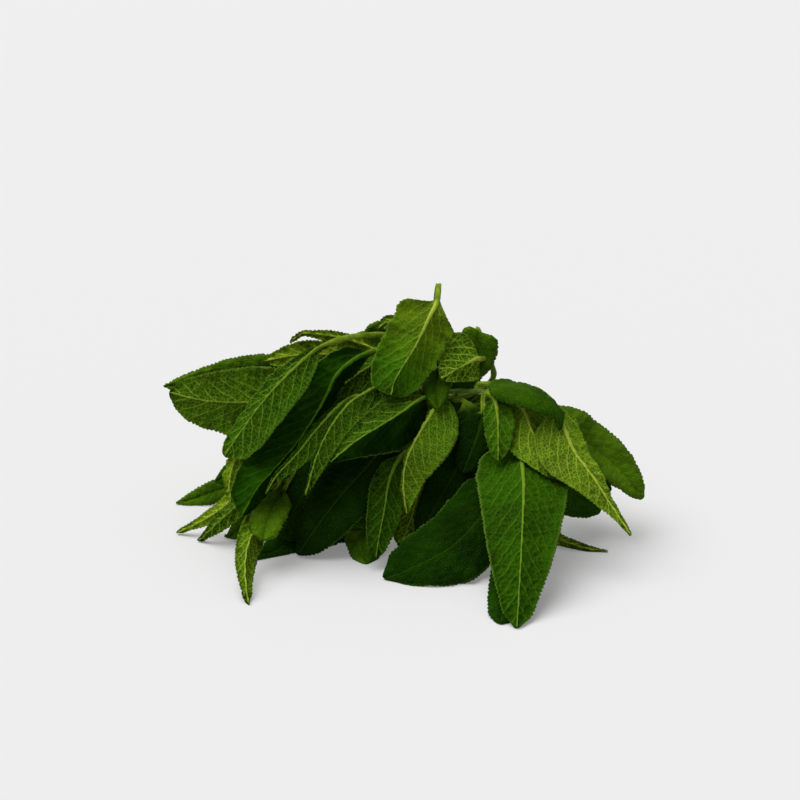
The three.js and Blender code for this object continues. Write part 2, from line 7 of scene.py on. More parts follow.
import bmesh
import bpy
import numpy as np
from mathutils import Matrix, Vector


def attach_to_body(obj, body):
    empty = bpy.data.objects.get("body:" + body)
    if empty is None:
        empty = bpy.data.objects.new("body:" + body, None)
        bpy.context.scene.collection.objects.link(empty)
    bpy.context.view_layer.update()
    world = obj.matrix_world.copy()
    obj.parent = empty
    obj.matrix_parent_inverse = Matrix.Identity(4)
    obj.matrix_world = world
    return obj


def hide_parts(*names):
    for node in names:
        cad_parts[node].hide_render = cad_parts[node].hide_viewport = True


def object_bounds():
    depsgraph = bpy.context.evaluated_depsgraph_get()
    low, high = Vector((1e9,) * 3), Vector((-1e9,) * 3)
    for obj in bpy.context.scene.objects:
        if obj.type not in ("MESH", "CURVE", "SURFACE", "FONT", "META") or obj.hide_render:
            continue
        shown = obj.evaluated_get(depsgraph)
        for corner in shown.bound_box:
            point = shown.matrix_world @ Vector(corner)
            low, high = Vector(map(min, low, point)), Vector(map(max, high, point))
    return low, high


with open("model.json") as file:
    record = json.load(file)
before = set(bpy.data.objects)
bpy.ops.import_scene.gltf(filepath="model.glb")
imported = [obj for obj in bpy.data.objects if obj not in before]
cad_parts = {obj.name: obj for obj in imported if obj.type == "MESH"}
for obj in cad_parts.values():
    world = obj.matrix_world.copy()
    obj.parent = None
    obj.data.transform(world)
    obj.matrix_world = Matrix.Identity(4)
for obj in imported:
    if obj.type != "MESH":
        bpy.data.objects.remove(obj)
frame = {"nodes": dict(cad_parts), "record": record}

BOX_LOW, BOX_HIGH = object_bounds()
MM = 0.001

# --- The frame's meshes -------------------------------
RING_SIDES = 8               # points of a ring, in a leaf or a stem
BLADE_START = 3              # ring at which a blade begins, counted from the one inside the stem
END_CORNER_EDGES = 4         # edges at a corner of a stem's flat end, if none crosses that end
FLAT_WITHIN = 0.004          # millimetres by which points of one flat end may differ
SAME_POINT = 1e-6            # metres within which two points are one

# --- Sizes, in millimetres ----------------------------
BLADE_THICKNESS = 0.5
STALK_RADIUS = 1.1
RIB_AT_TIP = 0.18            # half width of the midrib where it ends
BLADE_STEP = 0.33            # spacing of rows along a blade
STALK_STEP = 1.6             # and along a stalk
ACROSS_STEP = 0.65
TOOTH_PITCH = 1.6
TOOTH_DEPTH = 0.75
WAVE_HEIGHT = 2.4            # of the slow waves of a margin
RIPPLE_HEIGHT = 4.0          # and of its short ripples
JOIN_REACH = 12.0            # a foot nearer than this to a stem's line grows out of it
JOIN_DEPTH = 0.5             # by which any other foot is led on
FLOOR_GAP = (0.05, 0.3)      # from the floor to a leaf's lower skin, and on to its other skin

# --- Veins: distances in millimetres; a noise has its scale in turns per millimetre ---
SIDE_VEIN_GAP = (4.4, 0.22)  # between side veins, and how much it grows with the leaf's width
SIDE_VEIN_SLOPE = 1.4        # how far a side vein runs forwards for each millimetre outwards
SIDE_VEIN_BEND = 0.04        # and how quickly it bends towards the tip
SIDE_VEIN_SHIFT = 0.23       # of a gap, forwards on one half of the leaf and back on the other
SIDE_VEIN_SLANT = 1.7        # of distances along the leaf over those square to a side vein
SLOW_STRAY = (0.16, 5.0)     # noise scale and reach of a side vein's slow straying
QUICK_STRAY = (0.7, 0.9)     # and of its quick straying
NET_STRAY = (0.35, 1.2)      # the same for the vein net
NET_PATCH_SCALE = 0.4        # noise scale of where the net is strong
FIELD_CELL = 3.4             # a domed field of the blade
NET_CELL = 1.6               # a mesh of the vein net
MIDDLE_CELL = 0.85           # of the net inside it
FINE_CELL = 0.55             # and of the finest net
CELL_RANDOMNESS = 0.9

# --- Leaf by leaf: tone (0 dark, 1 bright), strength of the vein net, waviness, net size ---
# A pair in place of a number is for the left and the right half of the leaf; the darker half with the
# weaker net is painted shade on a half folded out of the light.
# Each tone was fitted to how bright the leaf looks where it lies, so it is partly the leaf's own
# colour and partly painted shade for leaves deep in the heap and painted light for lit ones.
PLAIN_LOOK = (0.3, 0.7, 1.0, 1.0)
LOOKS = {
    "leaf_top": (0.44, 0.28, 1.6, 0.8),
    "leaf_crown_small": (0.44, 0.9, 1.2, 1.5),
    "leaf_crown_dark": (0.57, 0.6, 1.0, 1.0),
    "leaf_crown_round": (0.66, 0.5, 1.0, 1.0),
    "leaf_centre_pale": (0.41, 0.6, 0.9, 0.8),
    "leaf_centre_folded": ((0.16, 0.03), (0.7, 0.0), 1.0, 0.8),
    "leaf_front_broad": (0.20, 0.26, 0.6, 1.0),
    "leaf_front_under": (0.15, 0.5, 0.6, 1.0),
    "leaf_floor_front": (0.09, 0.6, 1.0, 1.0),
    "leaf_right_arch": (0.46, 0.5, 0.4, 1.0),
    "leaf_right_broad": (0.65, 0.75, 0.9, 0.75),
    "leaf_right_cover": (0.56, 0.75, 1.0, 0.75),
    "leaf_right_young": (0.27, 0.4, 1.0, 0.7),
    "leaf_right_inner": (0.03, 0.6, 1.0, 1.0),
    "leaf_right_far": (0.85, 0.5, 1.0, 1.0),
    "leaf_right_low": (0.34, 0.5, 1.0, 1.0),
    "leaf_right_floor": (0.80, 0.6, 0.5, 1.0),
    "leaf_inner_dark": (0.10, 0.5, 1.0, 1.0),
    "leaf_bottom_lit": (0.09, 0.4, 1.0, 1.0),
    "leaf_bottom_inner": (0.5, 0.8, 1.0, 1.0),
    "leaf_bottom_middle": (0.69, 0.5, 1.0, 1.0),
    "leaf_bottom_dark": (0.04, 0.5, 0.8, 1.0),
    "leaf_bottom_left": (0.11, 0.5, 1.0, 1.0),
    "leaf_middle_lit": ((0.05, 0.14), (0.2, 0.7), 0.8, 0.85),
    "leaf_middle_rear": (0.16, 0.7, 1.0, 1.0),
    "leaf_left_lit": ((0.04, 0.08), (0.4, 0.7), 0.8, 0.85),
    "leaf_left_long": (0.14, 0.7, 0.9, 1.0),
    "leaf_left_long_dark": ((0.12, 0.02), (0.0, 0.0), 1.1, 1.0),
    "leaf_left_broad": (0.36, 0.65, 1.0, 0.95),
    "leaf_left_behind": (0.85, 0.5, 1.0, 1.0),
    "leaf_left_narrow": (0.74, 0.5, 0.7, 0.8),
    "leaf_low_left_round": (0.85, 0.6, 1.4, 1.0),
    "leaf_low_left_front": (0.50, 0.55, 0.7, 1.0),
    "leaf_low_left_curled": (0.17, 0.8, 0.6, 0.9),
    "leaf_low_left_thin": (0.85, 0.6, 0.5, 0.8),
    "leaf_low_left_far": (0.80, 0.5, 1.0, 1.0),
    "leaf_low_left_dark": (0.33, 0.5, 1.0, 1.0),
    "leaf_low_left_under": (0.55, 0.5, 1.0, 1.0),
    "leaf_low_left_floor": (0.20, 0.5, 1.0, 1.0),
    "leaf_rear_bright": (0.80, 0.55, 1.0, 0.9),
    "leaf_rear_curled": (0.75, 0.5, 0.4, 1.0),
    "leaf_peak_pale": (0.58, 0.7, 1.0, 1.0),
    "leaf_peak_dark": (0.80, 0.5, 1.0, 1.0),
}

# Painted light and shade along some leaves: how much darker they are at their tips than at their
# bases, as a difference of tone, lighter at the tip where it is negative.
TIP_DARKENING = {
    "leaf_top": 0.6, "leaf_right_broad": -0.3, "leaf_right_far": -0.3, "leaf_centre_pale": -0.15,
    "leaf_left_long": -0.06, "leaf_right_arch": 0.25, "leaf_front_broad": 0.06,
}


# --- Reading the rings of a frame node ----------------
def merged_mesh(node):
    """Vertices (mm) and outward triangles of a frame node, its doubles merged."""
    mesh = bmesh.new()
    mesh.from_mesh(frame["nodes"][node].data)
    bmesh.ops.remove_doubles(mesh, verts=mesh.verts, dist=SAME_POINT)
    bmesh.ops.triangulate(mesh, faces=mesh.faces)
    mesh.verts.index_update()
    points = np.array([v.co for v in mesh.verts]) / MM
    triangles = [tuple(v.index for v in f.verts) for f in mesh.faces]
    mesh.free()
    return points, triangles


def neighbours_of(count, triangles):
    """The set of vertices that share an edge with each vertex."""
    found = [set() for _ in range(count)]
    for a, b, c in triangles:
        found[a] |= {b, c}
        found[b] |= {a, c}
        found[c] |= {a, b}
    return found


def levels_from(start, neighbours):
    """How many edges each vertex is from the start set."""
    level = {v: 0 for v in start}
    edge = list(start)
    while edge:
        following = []
        for v in edge:
            for other in neighbours[v]:
                if other not in level:
                    level[other] = level[v] + 1
                    following.append(other)
        edge = following
    return level


def leaf_rings(node):
    """(rings, tip): rings of eight points from the stalk's foot on, left margin first."""
    points, triangles = merged_mesh(node)
    neighbours = neighbours_of(len(points), triangles)
    tip = next(v for v, near in enumerate(neighbours) if len(near) == RING_SIDES)
    level = levels_from([tip], neighbours)
    last = max(level.values())
    following, ahead = {}, {}
    for triangle in triangles:
        for turn in range(3):
            a, b, c = triangle[turn:] + triangle[:turn]
            if level[a] == level[b] == level[c] + 1:
                following[a] = b
                ahead[a] = c
    foot = [v for v in level if level[v] == last]
    centre = points[foot].mean(0)
    groove = min(foot, key=lambda v: np.linalg.norm(points[v] - centre))
    order = [groove]
    while len(order) < RING_SIDES:
        order.append(following[order[-1]])
    order = order[-2:] + order[:-2]
    rings = []
    for _ in range(last):
        rings.append(points[order])
        order = [ahead[v] for v in order]
    return np.array(rings), points[tip]


def stem_line(node):
    """Centre points and radii of a stem's rings, thick end first."""
    points, triangles = merged_mesh(node)
    neighbours = neighbours_of(len(points), triangles)
    corner = next(v for v, near in enumerate(neighbours) if len(near) == END_CORNER_EDGES)
    for triangle in triangles:
        if corner in triangle:
            a, b, c = points[list(triangle)]
            normal = np.cross(b - a, c - a)
            normal /= np.linalg.norm(normal)
            flat = np.abs((points - a) @ normal) < FLAT_WITHIN
            if flat.sum() == RING_SIDES:
                break
    level = levels_from(np.flatnonzero(flat).tolist(), neighbours)
    rings = [[v for v in level if level[v] == n] for n in range(max(level.values()) + 1)]
    centres = np.array([points[ring].mean(0) for ring in rings])
    radii = np.array([np.linalg.norm(points[r] - c, axis=1).mean() for r, c in zip(rings, centres)])
    if radii[0] < radii[-1]:
        return centres[::-1], radii[::-1]
    return centres, radii


# --- Smooth interpolation -----------------------------
def through(knots, values, at):
    """Values of a smooth curve through values (first axis) at knots, read at the places given."""
    steps = np.diff(knots)
    slopes = np.diff(values, axis=0) / steps.reshape(-1, *[1] * (values.ndim - 1))
    share = (steps[:-1] / (steps[:-1] + steps[1:])).reshape(-1, *[1] * (values.ndim - 1))
    inner = slopes[:-1] * (1 - share) + slopes[1:] * share
    tangents = np.concatenate([slopes[:1], inner, slopes[-1:]])
    span = np.clip(np.searchsorted(knots, at, side="right") - 1, 0, len(steps) - 1)
    shape = (-1, *[1] * (values.ndim - 1))
    width = steps[span].reshape(shape)
    t = ((at - knots[span]) / steps[span]).reshape(shape)
    a, b = values[span], values[span + 1]
    ta, tb = tangents[span] * width, tangents[span + 1] * width
    return (
        a * (2 * t**3 - 3 * t**2 + 1) + ta * (t**3 - 2 * t**2 + t)
        + b * (3 * t**2 - 2 * t**3) + tb * (t**3 - t**2)
    )


def unit(vectors):
    """The vectors at length 1."""
    return vectors / np.maximum(np.linalg.norm(vectors, axis=-1, keepdims=True), 1e-9)


# --- Stem lines, to which the leaves' feet are joined ---
STEM_LINES = {name: stem_line(name) for name in frame["nodes"] if not name.startswith("leaf_")}
LINE_SAMPLES = 160


def nearest_on_stem(point, own=None):
    """The nearest point on another stem's centre line, and how far it is."""
    best, found = math.inf, None
    for name, (centres, _) in STEM_LINES.items():
        if name == own:
            continue
        knots = np.arange(len(centres), dtype=float)
        line = through(knots, centres, np.linspace(0, len(centres) - 1, LINE_SAMPLES))
        gaps = np.linalg.norm(line - point, axis=1)
        if gaps.min() < best:
            best, found = gaps.min(), line[gaps.argmin()]
    return found, best


# --- A leaf's middle surface --------------------------
COLUMNS = 5                  # down a leaf's middle surface
FEWEST_STALK_ROWS = 3
FEWEST_BLADE_ROWS = 12
FEWEST_ACROSS = 4            # on each half of a leaf
SMOOTHING_ROUNDS = 2         # of the upward vectors, along a leaf
ROUND_SHARE = 0.35           # of a smooth curve across the midrib, the rest being a crease
MIDRIB_CROWDING = 1.4        # power that draws the places across a leaf towards its midrib
MARGIN_CROWDING = (0.25, 1.6)  # share and power that draw them towards its margins


def middle_columns(rings):
    """Five columns down the middle surface: left margin, left half, midrib, right half, margin."""
    return np.stack([
        rings[:, 0],
        (rings[:, 1] + rings[:, 7]) / 2,
        (rings[:, 2] + rings[:, 6]) / 2,
        (rings[:, 3] + rings[:, 5]) / 2,
        rings[:, 4],
    ], axis=1)


def grown_from_stem(columns):
    """The columns with one more ring in front, inside the stem that the foot grows from."""
    foot = columns[0, 2]
    root, gap = nearest_on_stem(foot)
    if gap > JOIN_REACH:
        root = foot + unit(foot - columns[1, 2]) * JOIN_DEPTH
    return np.concatenate([[columns[0] + (root - foot)], columns])


def lengths_along(line):
    """How far along a line of points each of them is."""
    return np.concatenate([[0], np.cumsum(np.linalg.norm(np.diff(line, axis=0), axis=1))])


def surface_rows(columns, tip):
    """(rows, blade, along): the columns read finely along the leaf, how far along the blade each
    row is as a share of it, and how far along the leaf in millimetres."""
    closing = np.repeat(tip[None, None], COLUMNS, axis=1)
    mirrored = columns[-1:, ::-1]
    guide = np.concatenate([columns, closing, mirrored])
    reach = lengths_along(guide[:-1, 2])
    knots = np.append(reach, reach[-1] + (reach[-1] - reach[-2]))
    base, end = reach[BLADE_START], reach[-1]
    stalk = np.linspace(0, base, max(int(base / STALK_STEP), FEWEST_STALK_ROWS), endpoint=False)
    steps = max(int((end - base) / BLADE_STEP), FEWEST_BLADE_ROWS)
    blade = base + (end - base) * np.linspace(0, 1, steps + 1)
    places = np.concatenate([stalk, blade])
    return through(knots, guide, places), np.clip((places - base) / (end - base), 0, 1), places


def across_places(half_width):
    """Places across a leaf, closer together at the midrib and at both margins."""
    count = 2 * max(int(half_width / ACROSS_STEP), FEWEST_ACROSS) + 1
    even = np.linspace(-1, 1, count)
    share, power = MARGIN_CROWDING
    size = np.abs(even)
    crowded = (1 - share) * size ** MIDRIB_CROWDING + share * (1 - (1 - size) ** power)
    return np.sign(even) * crowded


def middle_surface(rows, across):
    """The surface over rows (n, 5) at the places across: part creased at the midrib, part round."""
    knots = np.linspace(-1, 1, COLUMNS)
    round_over = through(knots, rows.transpose(1, 0, 2), across)
    left = across <= 0
    creased = np.empty_like(round_over)
    for side, part in ((left, slice(0, 3)), (~left, slice(2, 5))):
        creased[side] = through(knots[part], rows[:, part].transpose(1, 0, 2), across[side])
    return (ROUND_SHARE * round_over + (1 - ROUND_SHARE) * creased).transpose(1, 0, 2)


def surface_frames(surface):
    """Unit vectors over a surface: towards the upper side, and along each row."""
    along = np.gradient(surface, axis=0)
    sideways = np.gradient(surface, axis=1)
    up = unit(np.cross(sideways, along))
    up[-1] = up[-2]
    for _ in range(SMOOTHING_ROUNDS):
        up[1:-1] = unit(up[:-2] + 2 * up[1:-1] + up[2:])
    return up, unit(sideways)


# --- A leaf's closed skin -----------------------------
BLADE_OPENING = 0.12         # share of the blade's length over which the stalk widens into it
MARGIN_SQUARENESS = 8        # power that keeps the blade thick up to near its margin
BLADE_ON_STALK = 0.3         # share of the blade's upper half that runs down the stalk
STALK_ABOVE, STALK_BELOW = 0.85, 0.15   # of the stalk's radius, over and under the middle surface
GROOVE_DEPTH, GROOVE_WIDTH = 0.5, 0.4   # of the stalk's groove, as shares of its radius
LEAST_RISE = 0.02            # of the upper skin over the middle surface, away from the margins


def rim_length(surface):
    """How far along its own margin each place is, in millimetres."""
    middle = surface.shape[1] // 2
    edges = np.linalg.norm(np.diff(surface[:, [0, -1]], axis=0), axis=2)
    lengths = np.concatenate([[[0, 0]], np.cumsum(edges, axis=0)])
    columns = [lengths[:, :1]] * middle + [lengths[:, :1]] + [lengths[:, 1:]] * middle
    return np.concatenate(columns, axis=1)


def leaf_skin(node):
    """Points, faces and per-point attributes of a leaf as one closed skin."""
    rings, tip = leaf_rings(node)
    columns = grown_from_stem(middle_columns(rings))
    rows, blade, along = surface_rows(columns, tip)
    half_width = np.linalg.norm(np.diff(columns, axis=1), axis=2).sum(1).max() / 2
    across = across_places(half_width)
    surface = middle_surface(rows, across)
    up, sideways = surface_frames(surface)
    middle = len(across) // 2
    lengths = np.linalg.norm(np.diff(surface, axis=1), axis=2)
    reach = np.concatenate([np.zeros((len(surface), 1)), np.cumsum(lengths, axis=1)], axis=1)
    outwards = reach - reach[:, middle:middle + 1]

    def spread(values):
        return np.broadcast_to(values, outwards.shape)

    blade_share = spread(np.clip(blade / BLADE_OPENING, 0, 1)[:, None])
    rib = spread((RIB_AT_TIP + (STALK_RADIUS - RIB_AT_TIP) * (1 - blade) ** 3)[:, None])
    from_midrib = np.abs(across)[None]
    body = BLADE_THICKNESS / 2 * np.sqrt(np.clip(1 - from_midrib ** MARGIN_SQUARENESS, 0, 1))
    round_stalk = np.sqrt(np.clip(1 - (outwards / STALK_RADIUS) ** 2, 0, 1))
    groove = GROOVE_DEPTH * np.exp(-((outwards / (GROOVE_WIDTH * STALK_RADIUS)) ** 2))
    stalk = (1 - blade_share) * STALK_RADIUS
    upper = body * np.minimum(1, blade_share + BLADE_ON_STALK)
    upper = np.maximum(upper + stalk * (STALK_ABOVE * round_stalk - groove), LEAST_RISE)
    upper = np.where(from_midrib == 1, 0, upper)
    lower = np.where(from_midrib == 1, 0, body + stalk * STALK_BELOW * round_stalk)
    fields = {
        "flat": np.stack([outwards, spread(along[:, None]), 0 * outwards], 2),
        "up": up,
        "out": sideways * np.sign(across)[None, :, None],
        "across": spread(from_midrib),
        "blade": blade_share,
        "along": spread(blade[:, None]),
        "rib": rib,
        "rim": rim_length(surface),
        "vein_gap": spread(SIDE_VEIN_GAP[0] + SIDE_VEIN_GAP[1] * half_width),
        "breadth": spread((reach[:, -1:] / 2 / half_width).clip(0, 1)),
    }
    top = surface + up * upper[:, :, None]
    bottom = surface - up * lower[:, :, None]
    return closed_skin(top, bottom, fields)


def closed_skin(top, bottom, fields):
    """Joins both skins: each row is one loop, the last row is one point and the foot is capped."""
    def loops(upper, lower):
        return np.concatenate([upper, lower[:, -2:0:-1]], axis=1)

    points = loops(top, bottom)
    row_count, loop = points.shape[:2]
    count = top.shape[1]
    skin = np.ones((row_count, loop))
    skin[:, count:] = -1
    skin[:, [0, count - 1]] = 0
    attributes = {name: loops(field, field) for name, field in fields.items()}
    attributes["skin"] = skin
    body = row_count - 1
    flat_points = points[:body].reshape(-1, 3)
    tip = len(flat_points)
    all_points = np.concatenate([flat_points, points[-1:, 0], points[0].mean(0)[None]])
    rows = np.arange(body - 1)[:, None] * loop
    near = np.arange(loop)[None]
    far = (near + 1) % loop
    quads = np.stack([rows + near, rows + near + loop, rows + far + loop, rows + far], axis=2)
    last = (body - 1) * loop
    ends = [(last + k, tip, last + (k + 1) % loop) for k in range(loop)]
    ends += [(k, (k + 1) % loop, tip + 1) for k in range(loop)]
    values = {}
    for name, field in attributes.items():
        whole = field[:body].reshape(-1, *field.shape[2:])
        values[name] = np.concatenate([whole, field[-1:, 0], field[0].mean(0)[None]])
    return all_points, quads.reshape(-1, 4).tolist() + ends, values


def mesh_object(name, points, faces, values):
    """A mesh object at the origin, in metres, with its per-point attributes."""
    mesh = bpy.data.meshes.new(name)
    mesh.from_pydata((points * MM).tolist(), [], faces)
    for key, field in values.items():
        if field.ndim == 1:
            mesh.attributes.new(key, "FLOAT", "POINT").data.foreach_set("value", field.astype("f"))
        else:
            made = mesh.attributes.new(key, "FLOAT_VECTOR", "POINT")
            made.data.foreach_set("vector", field.astype("f").ravel())
    mesh.shade_smooth()
    piece = bpy.data.objects.new(name, mesh)
    bpy.context.scene.collection.objects.link(piece)
    return piece


# --- Node trees: one small way to write formulas for geometry and for materials ---
class Term:
    """A value in a node tree. Sums and products of terms add the nodes that work them out."""

    def __init__(self, web, socket):
        self.web, self.socket = web, socket

    def __add__(self, other):
        return self.web.math("ADD", self, other)

    def __sub__(self, other):
        return self.web.math("SUBTRACT", self, other)

    def __rsub__(self, other):
        return self.web.math("SUBTRACT", other, self)

    def __mul__(self, other):
        return self.web.math("MULTIPLY", self, other)

    def __truediv__(self, other):
        return self.web.math("DIVIDE", self, other)

    def __rtruediv__(self, other):
        return self.web.math("DIVIDE", other, self)

    __radd__, __rmul__ = __add__, __mul__

    def power(self, other):
        return self.web.math("POWER", self, other)

    def size(self):
        return self.web.math("ABSOLUTE", self)

    def rise(self, low, high):
        """0 below low, 1 above high, smooth between."""
        node = self.web.node("ShaderNodeMapRange", interpolation_type="SMOOTHSTEP")
        self.web.feed(node, 0, self, 1, low, 2, high)
        return Term(self.web, node.outputs[0])

    def fall(self, low, high):
        return 1.0 - self.rise(low, high)


class Web:
    """Adds nodes to one tree."""

    def __init__(self, tree):
        self.tree = tree

    def node(self, kind, **settings):
        made = self.tree.nodes.new(kind)
        for key, value in settings.items():
            setattr(made, key, value)
        return made

    def feed(self, node, *pairs):
        """Sets inputs of a node: socket, value, socket, value and so on."""
        for socket, value in zip(pairs[::2], pairs[1::2]):
            if isinstance(value, Term):
                value = value.socket
            if isinstance(value, bpy.types.NodeSocket):
                self.tree.links.new(value, node.inputs[socket])
            else:
                node.inputs[socket].default_value = value

    def math(self, operation, *values):
        node = self.node("ShaderNodeMath", operation=operation)
        for index, value in enumerate(values):
            self.feed(node, index, value)
        return Term(self, node.outputs[0])

    def largest(self, *terms):
        result = terms[0]
        for term in terms[1:]:
            result = self.math("MAXIMUM", result, term)
        return result

    def smallest(self, a, b):
        return self.math("MINIMUM", a, b)

    def vector(self, x, y, z=0.0):
        node = self.node("ShaderNodeCombineXYZ")
        self.feed(node, 0, x, 1, y, 2, z)
        return node.outputs[0]

    def parts(self, vector):
        node = self.node("ShaderNodeSeparateXYZ")
        self.feed(node, 0, vector)
        return [Term(self, socket) for socket in node.outputs]

    def scaled(self, vector, by):
        node = self.node("ShaderNodeVectorMath", operation="SCALE")
        self.feed(node, 0, vector, "Scale", by)
        return node.outputs[0]

    def summed(self, a, b):
        node = self.node("ShaderNodeVectorMath", operation="ADD")
        self.feed(node, 0, a, 1, b)
        return node.outputs[0]

    def noise(self, vector, scale, detail=2.0):
        node = self.node("ShaderNodeTexNoise")
        self.feed(node, "Vector", vector, "Scale", scale, "Detail", detail)
        return Term(self, node.outputs[0])

    def drift(self, vector, scale):
        """A vector of three noises, each about a middle of 0."""
        node = self.node("ShaderNodeTexNoise")
        self.feed(node, "Vector", vector, "Scale", scale, "Detail", 1.0)
        return self.summed(node.outputs["Color"], (-0.5, -0.5, -0.5))

    def cell_edge(self, vector, scale):
        """Distance to the nearest cell edge, in cells."""
        node = self.node(
            "ShaderNodeTexVoronoi", feature="DISTANCE_TO_EDGE", voronoi_dimensions="2D")
        self.feed(node, "Vector", vector, "Scale", scale, "Randomness", CELL_RANDOMNESS)
        return Term(self, node.outputs["Distance"])

    def attribute(self, name, kind="FLOAT"):
        """A per-point attribute, in either kind of tree."""
        if self.tree.type == "GEOMETRY":
            node = self.node("GeometryNodeInputNamedAttribute", data_type=kind)
            self.feed(node, "Name", name)
            return Term(self, node.outputs[0])
        node = self.node("ShaderNodeAttribute", attribute_name=name)
        return Term(self, node.outputs["Fac" if kind == "FLOAT" else "Vector"])


class Veins:
    """The veins of a leaf, the same for its relief and its colour, made as they are asked for.

    A name that ends in _at is how far the nearest such vein is, in millimetres but for the midrib,
    which is in its half widths. The others go from 0 to 1, and x and y are places on the leaf laid
    flat: across from the midrib and along from the foot."""

    def __init__(self, web):
        self.web = web
        self.flat = web.attribute("flat", "FLOAT_VECTOR").socket
        self.x, self.y, _ = web.parts(self.flat)

    def stray(self, scale, reach):
        return (self.web.noise(self.flat, scale) - 0.5) * reach

    def edge_of(self, cell):
        """How far the nearest edge of a net of cells this wide is."""
        return self.web.cell_edge(self.bent, 1 / cell) * cell * self.size

    @cached_property
    def bent(self):
        """Places on the leaf, bent so that no line of the net is quite straight."""
        scale, reach = NET_STRAY
        astray = self.web.scaled(self.web.drift(self.flat, scale), reach)
        return self.web.scaled(self.web.summed(self.flat, astray), 1.0 / self.size)

    @cached_property
    def side_at(self):
        gap = self.web.attribute("vein_gap")
        outwards = self.x.size()
        start = self.y - outwards * SIDE_VEIN_SLOPE - outwards * outwards * SIDE_VEIN_BEND
        start = start + self.stray(*SLOW_STRAY) + self.stray(*QUICK_STRAY)
        start = start + self.web.math("SIGN", self.x) * gap * SIDE_VEIN_SHIFT
        return (self.web.math("FRACT", start / gap) - 0.5).size() * gap / SIDE_VEIN_SLANT

    @cached_property
    def strength(self):
        """Of the net, stronger in some places than in others."""
        return self.web.noise(self.flat, NET_PATCH_SCALE, 1.0).rise(0.3, 0.65) * 0.6 + 0.4

    size = cached_property(lambda self: self.web.attribute("net_size"))
    midrib_at = cached_property(lambda self: (self.x / self.web.attribute("rib")).size())
    field_at = cached_property(lambda self: self.edge_of(FIELD_CELL))
    net_at = cached_property(lambda self: self.edge_of(NET_CELL))
    middle_at = cached_property(lambda self: self.edge_of(MIDDLE_CELL))
    midrib = cached_property(lambda self: self.midrib_at.fall(0.8, 1.1))
    side = cached_property(lambda self: self.side_at.fall(0.08, 0.36))
    net = cached_property(lambda self: self.net_at.fall(0.02, 0.22) * self.strength)
    middle = cached_property(lambda self: self.middle_at.fall(0.02, 0.14) * self.strength)
    fine = cached_property(lambda self: self.edge_of(FINE_CELL).fall(0.02, 0.15))
    pebble = cached_property(lambda self: self.middle_at.rise(0.0, 0.4))


# --- Leaf relief: millimetres, and noise scales in turns per millimetre ---
INSIDE_MARGIN = (0.86, 1.0)  # where, from midrib to margin, domes and veins fade out
DOME_RISE = (0.0, 1.2)       # from a vein to the top of a dome
MIDRIB_VALLEY = (0.7, 2.2)   # in half widths of the midrib, the flat strip at its sides
WAVE_NOISES = ((0.11, 1.8), (0.3, 0.9))   # scale and share of a margin's slow and quicker waves
WAVE_STRETCH = 0.5           # of the waves' noise across the leaf
RIPPLE_SCALE = 0.2
SIDES_APART = 30.0           # between the noises of a leaf's two margins
RIPPLE_CROWDING = 3.0        # power that keeps the ripples at the margins
ROLL_START = 0.72            # where, from midrib to margin, the margin begins to roll under
TOOTH_NOISE = 0.35           # noise scale of how uneven the teeth are
TOOTH_STRAY = 2.0            # by which a tooth may be out of place
TOOTH_BAND = (0.8, 1.0)      # where, from midrib to margin, the blade is drawn in between teeth


def new_group(name, inputs):
    """An empty geometry tree with these inputs after its geometry: (name, kind, value)."""
    tree = bpy.data.node_groups.new(name, "GeometryNodeTree")
    tree.interface.new_socket("Geometry", in_out="INPUT", socket_type="NodeSocketGeometry")
    for label, kind, value in inputs:
        made = tree.interface.new_socket(label, in_out="INPUT", socket_type=kind)
        if value is not None:
            made.default_value = value
    tree.interface.new_socket("Geometry", in_out="OUTPUT", socket_type="NodeSocketGeometry")
    return tree


